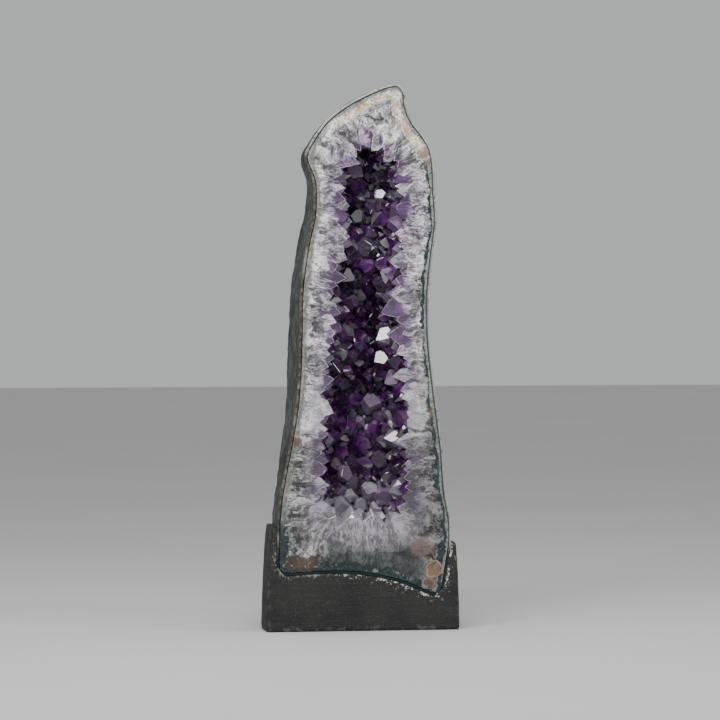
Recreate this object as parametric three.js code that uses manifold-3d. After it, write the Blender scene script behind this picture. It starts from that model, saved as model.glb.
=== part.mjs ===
// Amethyst cathedral: one half of a tall geode, sawn flat and polished at the front, with its druse
// of amethyst crystals, standing in a foot of cast cement.
// Millimetres, +Z up, sawn face towards -Y, origin at the middle of the footprint.

import * as THREE from "three";
import { LoftGeometry } from "three/addons/geometries/LoftGeometry.js";
import { mergeVertices } from "three/addons/utils/BufferGeometryUtils.js";
import Module from "manifold-3d";

const wasm = await Module();
wasm.setup();

// ---- driving dimensions -------------------------------------------------------------------------

const GAP = 0.3; // between pieces that touch
const BACK_GAP = 0.8; // between the quartz and the rind at the back, where their facets don't line up
const PAST_FACE = 6; // how far a cutting body reaches in front of the sawn face

// The face's outlines, from the bottom middle to the top, as matched points [x, z] of the right and
// the left side. z is the height above the floor.
const NODULE = {
  right: [
    [0, 57], [42, 48], [80, 35], [89, 64], [93, 102], [87, 140], [84, 182], [77, 235], [71, 288],
    [70, 335], [74, 378], [78, 410], [76, 440], [75, 468], [70, 488], [55, 508], [47, 525], [45, 541],
    [36, 548],
  ],
  left: [
    [0, 57], [-40, 58], [-81, 59], [-84, 84], [-83, 114], [-79, 146], [-72, 182], [-64, 232],
    [-61, 290], [-60, 340], [-54, 385], [-47, 420], [-48, 452], [-56, 474], [-49, 490], [-34, 511],
    [-12, 528], [14, 541], [36, 548],
  ],
  // The line along the back: its low and high end [x, z], and its depth at even steps between them.
  spine: { low: [2, 100], high: [14, 470], depths: [118, 116, 104, 96, 84, 68] },
  // How much wider it is behind the sawn face, at even steps from its bottom to its top.
  bulge: {
    right: [0.02, 0.03, 0.05, 0.04, 0.04, 0.04, 0.03, 0],
    left: [0.02, 0.02, 0.09, 0.165, 0.14, 0.13, 0.04, 0],
  },
  squareness: 0.6, // 1 makes the back round, less makes it squarer
};
const HOLLOW = {
  right: [
    [4, 98], [20, 97], [36, 99], [48, 107], [54, 122], [56, 146], [53, 180], [54, 222], [50, 270],
    [46, 314], [45, 350], [47, 377], [47, 402], [49, 426], [49, 447], [43, 463], [34, 476], [23, 487],
    [10, 494],
  ],
  left: [
    [4, 98], [-13, 98], [-29, 101], [-41, 109], [-46, 126], [-47, 150], [-45, 184], [-44, 224],
    [-38, 272], [-36, 317], [-31, 352], [-26, 380], [-24, 404], [-24, 427], [-26, 450], [-24, 469],
    [-16, 482], [-4, 490], [10, 494],
  ],
  spine: { low: [4, 140], high: [11, 448], depths: [58, 66, 64, 60, 55, 46] },
  bulge: { right: [0.03, 0.03], left: [0.03, 0.03] },
  squareness: 0.85,
};
const RIND = { atFace: 3, atBack: 6 }; // thickness of the host rock left on the geode

const FOOT = {
  left: -94,
  right: 102,
  depth: 134,
  belly: 10, // how far its sides swell behind the front
  corner: 6, // radius of the front corners
  height: 112,
  edge: 2.5, // rounding of the bottom edge
  rimLeft: 106, // height of the rim at its left and right ends
  rimRight: 88,
  waist: 0.06, // how much narrower it is at its full height
};

const CRYSTAL = {
  sizes: [
    // radius across corners, how many are tried, and how close two roots may come
    { radius: 13, tries: 1200, apart: 20 },
    { radius: 10.5, tries: 6000, apart: 15.5 },
  ],
  root: 9, // length below the wall's surface
  shaft: 0.5, // length of the prism above the surface, in radii
  tipSlope: 1.27, // rise of a tip face over its run, as in quartz
  lean: 0.3, // largest lean away from the wall's normal
  clusters: 52,
  milkyBelow: 132, // clusters rooted lower than this are milky quartz
};

const SLIVER = 0.08; // edges and faces thinner than this are merged away
const COLUMNS = 60; // points around each outline
const ARC_STEPS = 4; // rows from the face to the spine

// ---- small tools --------------------------------------------------------------------------------

// A repeatable source of numbers between 0 and 1.
function dice(seed) {
  let state = seed;
  return () => {
    state = (state + 0x6d2b79f5) | 0;
    let t = Math.imul(state ^ (state >>> 15), 1 | state);
    t = (t + Math.imul(t ^ (t >>> 7), 61 | t)) ^ t;
    return ((t ^ (t >>> 14)) >>> 0) / 4294967296;
  };
}

// A closed three.js geometry as a manifold-3d solid.
function solidOf(geometry) {
  const bare = new THREE.BufferGeometry();
  bare.setAttribute("position", geometry.getAttribute("position"));
  bare.setIndex(geometry.getIndex());
  const merged = mergeVertices(bare, 1e-3);
  const corners = merged.getIndex().array;
  const kept = [];
  for (let i = 0; i < corners.length; i += 3) {
    const [a, b, c] = corners.slice(i, i + 3);
    if (a !== b && b !== c && c !== a) kept.push(a, b, c);
  }
  const vertProperties = new Float32Array(merged.getAttribute("position").array);
  const triVerts = new Uint32Array(kept);
  return new wasm.Manifold(new wasm.Mesh({ numProp: 3, vertProperties, triVerts }));
}

// A manifold-3d solid as a named three.js mesh.
function meshOf(name, solid, material) {
  const found = solid.getMesh();
  const geometry = new THREE.BufferGeometry();
  const corners = new Float32Array(found.vertProperties);
  geometry.setAttribute("position", new THREE.BufferAttribute(corners, 3));
  geometry.setIndex(new THREE.BufferAttribute(new Uint32Array(found.triVerts), 1));
  geometry.computeVertexNormals();
  const mesh = new THREE.Mesh(geometry, material);
  mesh.name = name;
  return mesh;
}

// The largest single body of a solid that cutting may have broken up.
function largest(solid) {
  const bodies = solid.decompose();
  return bodies.reduce((a, b) => (b.volume() > a.volume() ? b : a));
}

// ---- rounded bodies behind the sawn face --------------------------------------------------------

// The closed curve of a form's outline on the face, bottom, right, top, left. Its points are (x, z).
function outlineOf(form) {
  const there = form.right.map(([x, z]) => new THREE.Vector3(x, z, 0));
  const back = form.left.slice(1, -1).reverse().map(([x, z]) => new THREE.Vector3(x, z, 0));
  return new THREE.CatmullRomCurve3([...there, ...back], true, "centripetal");
}

// A point on the outline, moved inwards by some distance. share runs from 0 to 1 around it.
function outlinePoint(curve, share, inwards) {
  const point = curve.getPoint(share % 1);
  const along = curve.getTangent(share % 1);
  return new THREE.Vector2(point.x - along.y * inwards, point.y + along.x * inwards);
}

// The value at a share of 0 to 1 along a list of values at even steps.
function valueAt(values, share) {
  const steps = values.length - 1;
  return new THREE.SplineCurve(values.map((v, i) => new THREE.Vector2(i / steps, v))).getPoint(share).y;
}

// The spine's point (x, depth, z) for a height share of 0 to 1, from its low to its high end.
function spinePoint({ low, high, depths }, share, thinner = 0) {
  return new THREE.Vector3(
    THREE.MathUtils.lerp(low[0], high[0], share),
    valueAt(depths, share) - thinner,
    THREE.MathUtils.lerp(low[1], high[1], share),
  );
}

// The height share of the spine's point that faces the outline at this share of the way round.
function spineShare(form, share) {
  const level = (1 - Math.abs(2 * share - 1)) * (form.right.length - 1);
  const low = Math.min(Math.floor(level), form.right.length - 2);
  const middle = (k) => (form.right[k][1] + form.left[k][1]) / 2;
  const z = THREE.MathUtils.lerp(middle(low), middle(low + 1), level - low);
  return THREE.MathUtils.clamp((z - middle(0)) / (middle(form.right.length - 1) - middle(0)), 0, 1);
}

// A point of a form's back. turn is 0 on the face's outline and 1 on the spine.
function backPoint(form, curve, share, turn, inset) {
  const spine = spinePoint(form.spine, spineShare(form, share), inset.atBack);
  const edge = outlinePoint(curve, share, inset.atFace);
  const angle = (turn * Math.PI) / 2;
  const bulge = valueAt(share < 0.5 ? form.bulge.right : form.bulge.left, spineShare(form, share));
  const out = turn === 1 ? 0 : Math.cos(angle) ** form.squareness * (1 + bulge * Math.sin(2 * angle));
  return new THREE.Vector3(
    spine.x + (edge.x - spine.x) * out,
    spine.y * Math.sin(angle) ** form.squareness,
    spine.z + (edge.y - spine.z) * out,
  );
}

// The closed solid of a form, inset by some thickness, from frontY back to its spine.
function roundedBody(form, inset = { atFace: 0, atBack: 0 }, frontY = 0) {
  const curve = outlineOf(form);
  const shares = Array.from({ length: COLUMNS }, (_, i) => Math.min(i, COLUMNS - i) / COLUMNS);
  const around = shares.map((share, i) => (i > COLUMNS / 2 ? 1 - share : share));
  const row = (place) => around.map(place);
  const onFace = (y) => row((share) => backPoint(form, curve, share, 0, inset).setY(y));
  const middle = row((share, i) => {
    const spine = spinePoint(form.spine, spineShare(form, shares[i]));
    return new THREE.Vector3(spine.x, frontY, spine.z);
  });
  const rows = [middle, onFace(frontY)];
  if (frontY < 0) rows.push(onFace(0));
  for (let step = 1; step < ARC_STEPS; step++) {
    rows.push(row((share) => backPoint(form, curve, share, step / ARC_STEPS, inset)));
  }
  rows.push(row((_, i) => backPoint(form, curve, shares[i], 1, inset)));
  return solidOf(new LoftGeometry(rows.map((points) => points.reverse())));
}

// ---- the geode's wall and its rind --------------------------------------------------------------

const hollow = roundedBody(HOLLOW, undefined, -PAST_FACE);
const insideRind = { atFace: RIND.atFace + GAP, atBack: RIND.atBack + BACK_GAP };
const quartzWall = roundedBody(NODULE, insideRind).subtract(hollow);
const basaltRind = roundedBody(NODULE).subtract(roundedBody(NODULE, RIND, -PAST_FACE));

// ---- the cement foot ----------------------------------------------------------------------------

// A D-shaped block with its flat side at the front, narrower towards its top.
function footBlock() {
  const { left, right, depth, belly, corner, height, edge } = FOOT;
  const plan = new THREE.Shape();
  plan.moveTo(left + corner, 0);
  plan.lineTo(right - corner, 0);
  plan.quadraticCurveTo(right, 0, right, corner);
  plan.bezierCurveTo(right + belly, depth * 0.6, right * 0.75, depth, 2, depth);
  plan.bezierCurveTo(left * 0.75, depth, left - belly, depth * 0.6, left, corner);
  plan.quadraticCurveTo(left, 0, left + corner, 0);
  const block = new THREE.ExtrudeGeometry(plan, {
    depth: height,
    steps: 4,
    curveSegments: 8,
    bevelThickness: edge,
    bevelSize: edge,
    bevelOffset: -edge,
    bevelSegments: 2,
  }).translate(0, 0, edge);
  const place = block.getAttribute("position");
  for (let i = 0; i < place.count; i++) {
    const narrower = 1 - FOOT.waist * (place.getZ(i) / height) ** 2;
    place.setX(i, place.getX(i) * narrower);
    place.setY(i, place.getY(i) * narrower);
  }
  return solidOf(block);
}

// Everything above the foot's sloping rim.
function aboveRim() {
  const { left, right, rimLeft, rimRight } = FOOT;
  const side = 400;
  const slope = Math.atan2(rimLeft - rimRight, right - left);
  const box = new THREE.BoxGeometry(side, side, side).translate(0, 0, side / 2);
  return solidOf(box.rotateY(slope).translate(0, 0, (rimLeft + rimRight) / 2));
}

const nest = roundedBody(NODULE, { atFace: -GAP, atBack: -GAP }, -PAST_FACE);
const cementFoot = largest(footBlock().subtract(aboveRim()).subtract(nest));

// ---- amethyst crystals --------------------------------------------------------------------------

const hollowCurve = outlineOf(HOLLOW);
const AS_IS = { atFace: 0, atBack: 0 };

// A place on the hollow's wall with the direction that points off it, into the hollow.
function wallPlace(share, turn) {
  const step = 1e-3;
  const at = (s, t) => backPoint(HOLLOW, hollowCurve, (s + 1) % 1, t, AS_IS);
  const point = at(share, turn);
  const around = at(share + step, turn).sub(at(share - step, turn));
  const back = at(share, Math.min(turn + step, 0.999)).sub(at(share, Math.max(turn - step, 0)));
  return { point, off: new THREE.Vector3().crossVectors(around, back).normalize() };
}

// Six-sided prism with a six-faced tip, three large faces and three small ones, grown along its axis.
// grown makes every face lie that much further out.
function crystalSolid({ point, axis, radius, twist, flatness, faces }, grown = 0) {
  const apothem = radius * Math.cos(Math.PI / 6);
  const wide = (apothem + grown) / Math.cos(Math.PI / 6);
  const shoulder = radius * CRYSTAL.shaft;
  const tip = shoulder + apothem * CRYSTAL.tipSlope;
  const length = CRYSTAL.root + tip + radius;
  const prism = new THREE.CylinderGeometry(wide, wide, length + grown, 6)
    .rotateX(Math.PI / 2)
    .translate(0, 0, length / 2 - CRYSTAL.root - grown / 2)
    .scale(flatness, 1 / flatness, 1);
  let solid = solidOf(prism);
  faces.forEach((shift, i) => {
    const angle = Math.PI / 6 + (i * Math.PI) / 3;
    const inwards = new THREE.Vector3(-Math.cos(angle), -Math.sin(angle), 0)
      .multiplyScalar(CRYSTAL.tipSlope)
      .setZ(-1)
      .normalize();
    const offset = inwards.z * (tip + shift * radius) - grown;
    solid = solid.trimByPlane(inwards.toArray(), offset);
  });
  const turn = new THREE.Quaternion().setFromUnitVectors(new THREE.Vector3(0, 0, 1), axis);
  const spin = new THREE.Quaternion().setFromAxisAngle(new THREE.Vector3(0, 0, 1), twist);
  const unscaled = new THREE.Vector3(1, 1, 1);
  const place = new THREE.Matrix4().compose(point, turn.multiply(spin), unscaled);
  return solid.transform(place.toArray());
}

// Crystals scattered over the hollow's wall, the large ones first.
function scatterCrystals() {
  const random = dice(23);
  const between = (low, high) => low + (high - low) * random();
  const crystals = [];
  for (const { radius, tries, apart } of CRYSTAL.sizes) {
    for (let i = 0; i < tries; i++) {
      const share = random();
      const turn = between(0.02, 0.97);
      const { point, off } = wallPlace(share, turn);
      const lean = new THREE.Vector3(between(-1, 1), between(-1, 1), between(-1, 1));
      const crystal = {
        point,
        axis: off.addScaledVector(lean, CRYSTAL.lean).normalize(),
        radius: radius * between(0.88, 1.14),
        twist: between(0, Math.PI / 3),
        flatness: between(0.9, 1.12),
        faces: [0, 1, 2, 3, 4, 5].map((k) => (k % 2 ? between(0.05, 0.5) : between(-0.12, 0.12))),
      };
      if (crystals.some((other) => other.point.distanceTo(point) < apart)) continue;
      crystals.push(crystal);
    }
  }
  return crystals;
}

// Groups of neighbouring crystals. Each new group starts at the crystal furthest from the others.
function groupCrystals(crystals, count) {
  const starts = [crystals[0]];
  const nearest = (crystal) => Math.min(...starts.map((s) => s.point.distanceTo(crystal.point)));
  while (starts.length < count) {
    starts.push(crystals.reduce((best, c) => (nearest(c) > nearest(best) ? c : best)));
  }
  const groups = starts.map(() => []);
  for (const crystal of crystals) {
    const distances = starts.map((s) => s.point.distanceTo(crystal.point));
    groups[distances.indexOf(Math.min(...distances))].push(crystal);
  }
  return groups.sort((a, b) => b[0].point.z - a[0].point.z);
}

// Each group as one solid, trimmed to the hollow and to the groups before it.
function clusterSolids(groups) {
  let room = roundedBody(HOLLOW, { atFace: GAP, atBack: GAP });
  return groups.map((group) => {
    const joined = wasm.Manifold.union(group.map((crystal) => crystalSolid(crystal)));
    const solid = largest(joined.intersect(room)).simplify(SLIVER);
    room = room.subtract(wasm.Manifold.union(group.map((crystal) => crystalSolid(crystal, GAP))));
    return { solid, low: group[0].point.z < CRYSTAL.milkyBelow };
  });
}

// ---- the assembly -------------------------------------------------------------------------------

const materials = {
  rind: new THREE.MeshStandardMaterial({ color: 0x4c504f, roughness: 0.85, metalness: 0 }),
  cement: new THREE.MeshStandardMaterial({ color: 0x565856, roughness: 0.8, metalness: 0 }),
  quartz: new THREE.MeshStandardMaterial({ color: 0xc9c3cc, roughness: 0.25, metalness: 0 }),
  amethyst: new THREE.MeshStandardMaterial({ color: 0x4b2a66, roughness: 0.12, metalness: 0 }),
  milky: new THREE.MeshStandardMaterial({ color: 0xc4b6cf, roughness: 0.18, metalness: 0 }),
};

const geode = new THREE.Group();
geode.add(
  meshOf("cement_foot", cementFoot, materials.cement),
  meshOf("basalt_rind", basaltRind, materials.rind),
  meshOf("quartz_wall", quartzWall, materials.quartz),
);

const counts = { amethyst: 0, milky: 0 };
for (const { solid, low } of clusterSolids(groupCrystals(scatterCrystals(), CRYSTAL.clusters))) {
  const kind = low ? "milky" : "amethyst";
  counts[kind] += 1;
  const number = String(counts[kind]).padStart(2, "0");
  geode.add(meshOf(`${kind}_cluster_${number}`, solid, materials[kind]));
}

const extent = new THREE.Box3().setFromObject(geode);
const centre = extent.getCenter(new THREE.Vector3());
geode.position.set(-centre.x, -centre.y, -extent.min.z);

const part = new THREE.Group();
part.add(geode);

export default part;
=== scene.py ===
import math
import random

import bpy
import numpy as np
from mathutils import Matrix, Vector
from mathutils.bvhtree import BVHTree
from mathutils.kdtree import KDTree


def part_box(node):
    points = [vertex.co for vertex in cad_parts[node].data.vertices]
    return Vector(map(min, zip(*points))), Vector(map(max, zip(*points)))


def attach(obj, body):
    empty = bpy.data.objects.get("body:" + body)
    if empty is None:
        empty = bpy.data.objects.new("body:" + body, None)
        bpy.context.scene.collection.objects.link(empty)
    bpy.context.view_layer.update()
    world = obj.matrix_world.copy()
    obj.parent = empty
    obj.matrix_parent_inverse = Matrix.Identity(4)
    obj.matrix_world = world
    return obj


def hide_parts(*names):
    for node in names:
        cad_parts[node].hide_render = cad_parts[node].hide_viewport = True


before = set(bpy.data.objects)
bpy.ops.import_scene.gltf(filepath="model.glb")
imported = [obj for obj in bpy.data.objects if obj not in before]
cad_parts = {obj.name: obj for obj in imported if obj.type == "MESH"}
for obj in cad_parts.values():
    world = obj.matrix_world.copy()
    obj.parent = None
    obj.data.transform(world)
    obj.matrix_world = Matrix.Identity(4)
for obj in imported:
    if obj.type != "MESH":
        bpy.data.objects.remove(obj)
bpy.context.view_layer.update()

MM = 0.001
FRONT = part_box("quartz_wall")[0].y  # the plane of the sawn face


# ==== the cast cement foot ========================================================================
# A block of grey cement poured around the geode's base in a box, then ground flat at the front
# together with the stone. Its corners are scuffed pale, and its sides keep a rough cast skin.

FOOT_GRAIN = 1.5 * MM
FOOT_DARK = (0.016, 0.0168, 0.0163, 1)
FOOT_LIGHT = (0.030, 0.031, 0.029, 1)
FOOT_SCUFF = (0.20, 0.20, 0.19, 1)
PLASTER = (0.62, 0.60, 0.55, 1)


def select_only(piece):
    bpy.ops.object.select_all(action="DESELECT")
    piece.select_set(True)
    bpy.context.view_layer.objects.active = piece


def copy_of(node_name, name):
    """A new piece with a merged copy of a CAD node's mesh."""
    piece = bpy.data.objects.new(name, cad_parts[node_name].data.copy())
    piece.data.name = name
    piece.data.materials.clear()
    bpy.context.scene.collection.objects.link(piece)
    select_only(piece)
    if piece.data.has_custom_normals:
        bpy.ops.mesh.customdata_custom_splitnormals_clear()
    bpy.ops.object.mode_set(mode="EDIT")
    bpy.ops.mesh.select_all(action="SELECT")
    bpy.ops.mesh.remove_doubles(threshold=0.01 * MM)
    bpy.ops.object.mode_set(mode="OBJECT")
    return piece


def apply_modifier(piece, kind, **settings):
    select_only(piece)
    modifier = piece.modifiers.new(kind.lower(), kind)
    for key, value in settings.items():
        setattr(modifier, key, value)
    bpy.ops.object.modifier_apply(modifier=modifier.name)


def points_of(piece):
    points = np.empty(len(piece.data.vertices) * 3)
    piece.data.vertices.foreach_get("co", points)
    return points.reshape(-1, 3)


def set_attribute(piece, name, values, kind="FLOAT"):
    attribute = piece.data.attributes.new(name, kind, "POINT")
    attribute.data.foreach_set("vector" if kind == "FLOAT_VECTOR" else "value", np.ravel(values))


def set_weights(piece, name, weights):
    group = piece.vertex_groups.new(name=name)
    for index, weight in enumerate(weights):
        group.add([index], float(weight), "REPLACE")


def roughen(piece, group, size, depth, basis="ORIGINAL_PERLIN"):
    """Lumps of a given size and depth on the vertices of a group."""
    texture = bpy.data.textures.new(f"{piece.name}_lumps", "CLOUDS")
    texture.noise_scale = size
    texture.noise_depth = 3
    texture.noise_basis = basis
    apply_modifier(piece, "DISPLACE", texture=texture, texture_coords="LOCAL", strength=depth,
                   mid_level=0.5, vertex_group=group)


def smooth_step(values, low, high):
    t = np.clip((values - low) / (high - low), 0, 1)
    return t * t * (3 - 2 * t)


def distance_to(node_name, points):
    """How far each point is from the surface of a CAD node."""
    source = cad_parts[node_name].data
    tree = BVHTree.FromPolygons([v.co for v in source.vertices], [p.vertices for p in source.polygons])
    return np.array([tree.find_nearest(Vector(p))[3] for p in points])


# Small helpers for shader nodes: each adds one node and gives back its main output.
def node(tree, kind, inputs=(), **settings):
    made = tree.nodes.new(kind)
    for key, value in settings.items():
        setattr(made, key, value)
    for key, value in dict(inputs).items():
        if isinstance(value, bpy.types.NodeSocket):
            tree.links.new(value, made.inputs[key])
        else:
            made.inputs[key].default_value = value
    return made


def maths(tree, operation, a, b=0.5):
    return node(tree, "ShaderNodeMath", {0: a, 1: b}, operation=operation).outputs[0]


def plus(tree, a, b):
    return maths(tree, "ADD", a, b)


def minus(tree, a, b):
    return maths(tree, "SUBTRACT", a, b)


def times(tree, a, b):
    return maths(tree, "MULTIPLY", a, b)


def vector_maths(tree, operation, inputs):
    return node(tree, "ShaderNodeVectorMath", inputs, operation=operation).outputs[0]


def ease(tree, value, low, high, to_low=0.0, to_high=1.0):
    inputs = {"Value": value, "From Min": low, "From Max": high, "To Min": to_low, "To Max": to_high}
    return node(tree, "ShaderNodeMapRange", inputs, interpolation_type="SMOOTHSTEP").outputs[0]


def mix(tree, share, a, b, blend="MIX"):
    made = node(tree, "ShaderNodeMix", {0: share, 6: a, 7: b}, data_type="RGBA", blend_type=blend)
    return made.outputs[2]


def stretch(tree, vector, scale, shift=(0, 0, 0)):
    return node(tree, "ShaderNodeMapping", {"Vector": vector, "Scale": scale, "Location": shift}).outputs[0]


def noise(tree, vector, scale=1.0, detail=3.0, roughness=0.55, distortion=0.0):
    inputs = {"Vector": vector, "Scale": scale, "Detail": detail, "Roughness": roughness,
              "Distortion": distortion}
    return node(tree, "ShaderNodeTexNoise", inputs).outputs[0]


def cells(tree, vector, scale=1.0, feature="F1"):
    return node(tree, "ShaderNodeTexVoronoi", {"Vector": vector, "Scale": scale}, feature=feature)


def attribute(tree, name, output="Fac"):
    return node(tree, "ShaderNodeAttribute", attribute_name=name).outputs[output]


def object_place(tree):
    return node(tree, "ShaderNodeTexCoord").outputs["Object"]


def new_material(name):
    """A material with its Principled shader: (material, tree, shader)."""
    material = bpy.data.materials.new(name)
    material.use_nodes = True
    tree = material.node_tree
    return material, tree, tree.nodes["Principled BSDF"]


def new_group(name, inputs, outputs):
    """A shader node group: (tree, its inputs node, its outputs node)."""
    tree = bpy.data.node_groups.new(name, "ShaderNodeTree")
    for socket_name, (kind, value) in inputs.items():
        socket = tree.interface.new_socket(socket_name, in_out="INPUT", socket_type=kind)
        socket.default_value = value
    for socket_name, kind in outputs.items():
        tree.interface.new_socket(socket_name, in_out="OUTPUT", socket_type=kind)
    return tree, tree.nodes.new("NodeGroupInput"), tree.nodes.new("NodeGroupOutput")


def use_group(tree, group, **inputs):
    made = tree.nodes.new("ShaderNodeGroup")
    made.node_tree = group
    for key, value in inputs.items():
        socket = made.inputs[key.replace("_", " ").title()]
        if isinstance(value, bpy.types.NodeSocket):
            tree.links.new(value, socket)
        else:
            socket.default_value = value
    return made


# Cloudy and gritty variation of a stone's surface, used by the foot, the rind and the wall.
mottle, given, result = new_group(
    "mottle",
    {"Patch Scale": ("NodeSocketFloat", 30.0), "Grit Scale": ("NodeSocketFloat", 900.0)},
    {"Patches": "NodeSocketFloat", "Grit": "NodeSocketFloat", "Specks": "NodeSocketFloat"},
)
place = object_place(mottle)
mottle.links.new(noise(mottle, place, given.outputs["Patch Scale"], 5, 0.6), result.inputs["Patches"])
mottle.links.new(noise(mottle, place, given.outputs["Grit Scale"], 2, 0.6), result.inputs["Grit"])
speck = cells(mottle, place, given.outputs["Grit Scale"])
near = ease(mottle, speck.outputs["Distance"], 0.32, 0.12)
parts = node(mottle, "ShaderNodeSeparateColor", {"Color": speck.outputs["Color"]})
chosen = ease(mottle, parts.outputs[0], 0.72, 0.80)
mottle.links.new(times(mottle, near, chosen), result.inputs["Specks"])

cast_foot = copy_of("cement_foot", "cast_foot")
foot_low, foot_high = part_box("cement_foot")
apply_modifier(cast_foot, "REMESH", mode="VOXEL", voxel_size=FOOT_GRAIN, use_smooth_shade=True)
foot_points = points_of(cast_foot)
behind_face = smooth_step(foot_points[:, 1] - FRONT, 2 * MM, 8 * MM)
above_floor = smooth_step(foot_points[:, 2], 1 * MM, 5 * MM)
set_weights(cast_foot, "cast", behind_face * above_floor)
apply_modifier(cast_foot, "SMOOTH", factor=0.5, iterations=16, vertex_group="cast")
roughen(cast_foot, "cast", 0.030, 2.2 * MM)
roughen(cast_foot, "cast", 0.006, 0.9 * MM)
foot_points = points_of(cast_foot)
beside = np.minimum(foot_points[:, 0] - foot_low.x, foot_high.x - foot_points[:, 0])
beside = np.maximum(beside - 2 * MM * foot_points[:, 2] / foot_high.z, 0)
to_edge = np.minimum(np.hypot(beside, foot_points[:, 1] - FRONT), foot_points[:, 2])
set_attribute(cast_foot, "worn", 1 - smooth_step(to_edge, 0.5 * MM, 7 * MM))
set_attribute(cast_foot, "ground", 1 - smooth_step(foot_points[:, 1] - FRONT, 0.5 * MM, 2.5 * MM))

cement, tree, shader = new_material("ground_cement")
marks = use_group(tree, mottle, patch_scale=22.0, grit_scale=650.0)
place = object_place(tree)
patches = ease(tree, marks.outputs["Patches"], 0.3, 0.7)
colour = mix(tree, patches, FOOT_DARK, FOOT_LIGHT)
sanding = noise(tree, stretch(tree, place, (28, 400, 900)), 1.0, 4, 0.65)
ground = attribute(tree, "ground")
lines = times(tree, ease(tree, sanding, 0.45, 0.75), ground)
colour = mix(tree, times(tree, lines, 0.5), colour, (0.052, 0.053, 0.050, 1))
colour = mix(tree, times(tree, marks.outputs["Specks"], 0.45), colour, FOOT_SCUFF)
ragged = noise(tree, place, 140.0, 4, 0.65)
scuffed = times(tree, attribute(tree, "worn"), ease(tree, ragged, 0.46, 0.66))
colour = mix(tree, times(tree, scuffed, 0.6), colour, FOOT_SCUFF)
axes = node(tree, "ShaderNodeSeparateXYZ", {0: place})
crumbs = noise(tree, place, 380.0, 3, 0.7)
seam = attribute(tree, "seam")
crusted = ease(tree, axes.outputs[0], -0.060, 0.020, 0.25, 1.0)
line = minus(tree, seam, times(tree, ease(tree, ragged, 0.42, 0.66), 3.2 * MM))
line = times(tree, ease(tree, line, 0.5 * MM, -0.3 * MM), ease(tree, crumbs, 0.42, 0.56))
spill = times(tree, ease(tree, seam, 11 * MM, 1 * MM), ease(tree, crumbs, 0.60, 0.66))
plaster = times(tree, maths(tree, "MAXIMUM", line, spill), crusted)
# On its upward strips beside the geode the cement is rough, with pale grains.
strip = ease(tree, axes.outputs[2], 0.055, 0.080)
grains = times(tree, ease(tree, crumbs, 0.53, 0.63), strip)
grains = times(tree, grains, ease(tree, ragged, 0.40, 0.62, 0.05, 0.55))
colour = mix(tree, grains, colour, (0.17, 0.175, 0.165, 1))
colour = mix(tree, plaster, colour, PLASTER)
height = plus(tree, times(tree, sanding, 0.25), times(tree, marks.outputs["Grit"], 0.6))
height = plus(tree, height, times(tree, plaster, 0.8))
bump = node(tree, "ShaderNodeBump", {"Strength": 0.5, "Distance": 0.35 * MM, "Height": height})
tree.links.new(colour, shader.inputs["Base Color"])
tree.links.new(bump.outputs[0], shader.inputs["Normal"])
tree.links.new(ease(tree, marks.outputs["Grit"], 0.2, 0.8, 0.55, 0.85), shader.inputs["Roughness"])
shader.inputs["Specular IOR Level"].default_value = 0.25
cast_foot.data.materials.append(cement)
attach(cast_foot, "root")
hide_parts("cement_foot")


# ==== the rind of host rock =======================================================================
# What is left of the basalt that the geode grew in: a thin grey skin on its back and sides, rubbed
# down with a coarse wheel. Its front edge is ground with the face and shows as a pale line.

RIND_GRAIN = 2.0 * MM
RIND_DARK = (0.019, 0.021, 0.020, 1)
RIND_LIGHT = (0.078, 0.084, 0.078, 1)
RIND_EDGE = (0.42, 0.43, 0.40, 1)
RIND_BROWN = (0.13, 0.112, 0.085, 1)
CELADON = (0.03, 0.07, 0.065, 1)


def crease_face_edges(piece):
    """Keeps the edges around the sawn face sharp when the piece is subdivided."""
    mesh = piece.data
    on_face = np.abs(points_of(piece)[:, 1] - FRONT) < 0.02 * MM
    flat = {p.index for p in mesh.polygons if p.normal.y < -0.99 and all(on_face[v] for v in p.vertices)}
    faces_at = {}
    for polygon in mesh.polygons:
        for key in polygon.edge_keys:
            faces_at.setdefault(key, []).append(polygon.index in flat)
    crease = mesh.attributes.new("crease_edge", "FLOAT", "EDGE")
    for edge in mesh.edges:
        crease.data[edge.index].value = float(len(set(faces_at[edge.key])) == 2)


def round_off(piece, levels=2, passes=3):
    """Subdivides a creased piece so that its smooth surface still runs through its own corners."""
    aims = points_of(piece)
    modifier = piece.modifiers.new("round_off", "SUBSURF")
    modifier.levels = modifier.render_levels = levels
    for _ in range(passes):
        rounded = piece.evaluated_get(bpy.context.evaluated_depsgraph_get())
        reached = np.empty(len(rounded.data.vertices) * 3)
        rounded.data.vertices.foreach_get("co", reached)
        corners = points_of(piece) + aims - reached.reshape(-1, 3)[:len(aims)]
        piece.data.vertices.foreach_set("co", corners.ravel())
        piece.data.update()
    select_only(piece)
    bpy.ops.object.modifier_apply(modifier=modifier.name)


basalt_skin = copy_of("basalt_rind", "basalt_skin")
crease_face_edges(basalt_skin)
round_off(basalt_skin)
apply_modifier(basalt_skin, "REMESH", mode="VOXEL", voxel_size=RIND_GRAIN, use_smooth_shade=True)
skin_points = points_of(basalt_skin)
off_wall = distance_to("quartz_wall", skin_points)
outside = smooth_step(off_wall, 1.2 * MM, 2.8 * MM)
behind_face = smooth_step(skin_points[:, 1] - FRONT, 1 * MM, 10 * MM)
set_weights(basalt_skin, "outside", outside * (0.12 + 0.88 * behind_face))
roughen(basalt_skin, "outside", 0.045, 4.2 * MM)
roughen(basalt_skin, "outside", 0.012, 2.2 * MM)
roughen(basalt_skin, "outside", 0.0045, 0.9 * MM, "VORONOI_F1")
skin_points = points_of(basalt_skin)
set_attribute(basalt_skin, "edge", 1 - smooth_step(skin_points[:, 1] - FRONT, 0.4 * MM, 3.5 * MM))
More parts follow.
